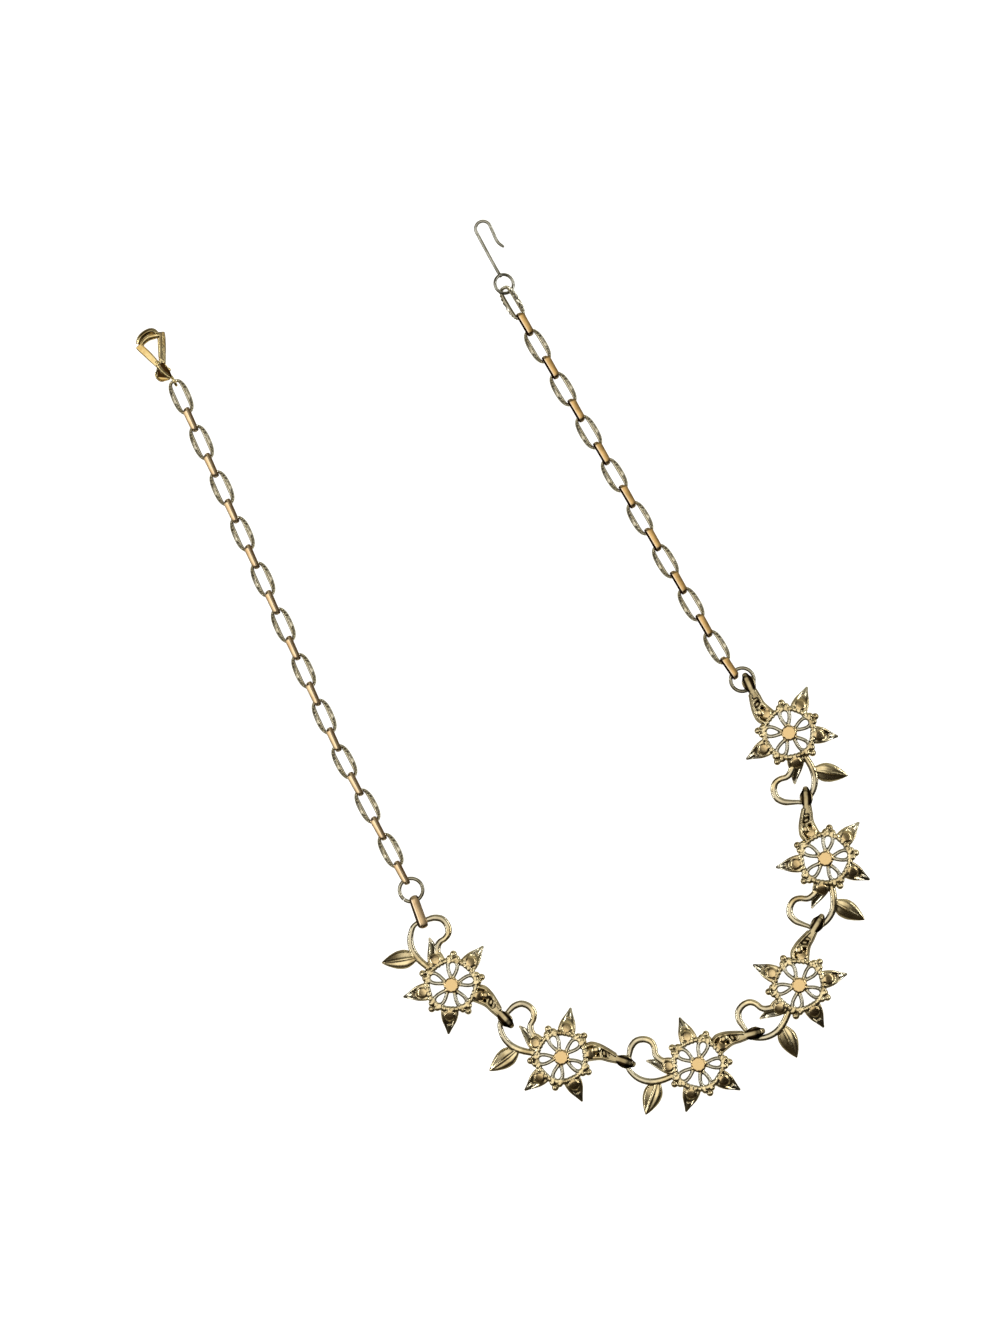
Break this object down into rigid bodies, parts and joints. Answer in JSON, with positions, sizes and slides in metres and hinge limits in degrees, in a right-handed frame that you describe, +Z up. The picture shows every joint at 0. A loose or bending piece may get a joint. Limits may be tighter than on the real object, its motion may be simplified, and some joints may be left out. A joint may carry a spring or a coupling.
{
  "type": "link choker",
  "caption": "Gold-coloured choker of openwork flowers hooked to each other, with two chains of open and band links, a wire hook and a sheet catch.",
  "frame": {"origin": "middle of the laid-out choker's box, on the surface that it lies on", "axes": "+Z up from the surface, +Y from the flowers towards the two free ends, +X towards the chain that carries the hook"},
  "size_m": [0.102, 0.1902, 0.0032],
  "materials": {
    "flower_gold": "cast and gilt, bright on its ridges and dark in its hollows",
    "band_gold": "smooth and polished",
    "link_gold": "diamond cut along its sides, gilt",
    "catch_gold": "folded sheet, polished and gilt",
    "ring_metal": "drawn wire, pale gilt",
    "hook_metal": "drawn wire, plated, rubbed dull"
  },
  "bodies": {
    "root": {"flower_1": "flower_gold", "flower_2": "flower_gold", "flower_3": "flower_gold", "flower_4": "flower_gold", "flower_5": "flower_gold", "flower_6": "flower_gold", "left_band_1": "band_gold", "left_open_1": "link_gold", "left_band_2": "band_gold", "left_open_2": "link_gold", "left_band_3": "band_gold", "left_open_3": "link_gold", "left_band_4": "band_gold", "left_open_4": "link_gold", "left_band_5": "band_gold", "left_open_5": "link_gold", "left_band_6": "band_gold", "left_open_6": "link_gold", "left_band_7": "band_gold", "left_open_7": "link_gold", "left_band_8": "band_gold", "left_open_8": "link_gold", "left_band_9": "band_gold", "left_open_9": "link_gold", "left_band_10": "band_gold", "left_open_10": "link_gold", "left_band_11": "band_gold", "left_open_11": "link_gold", "right_band_1": "band_gold", "right_open_1": "link_gold", "right_band_2": "band_gold", "right_open_2": "link_gold", "right_band_3": "band_gold", "right_open_3": "link_gold", "right_band_4": "band_gold", "right_open_4": "link_gold", "right_band_5": "band_gold", "right_open_5": "link_gold", "right_band_6": "band_gold", "right_open_6": "link_gold", "right_band_7": "band_gold", "right_open_7": "link_gold", "right_band_8": "band_gold", "right_open_8": "link_gold", "right_band_9": "band_gold", "right_open_9": "link_gold", "ring_left": "ring_metal", "ring_right": "ring_metal", "end_bail": "band_gold", "hook": "hook_metal", "catch": "catch_gold"}
  },
  "joints": []
}
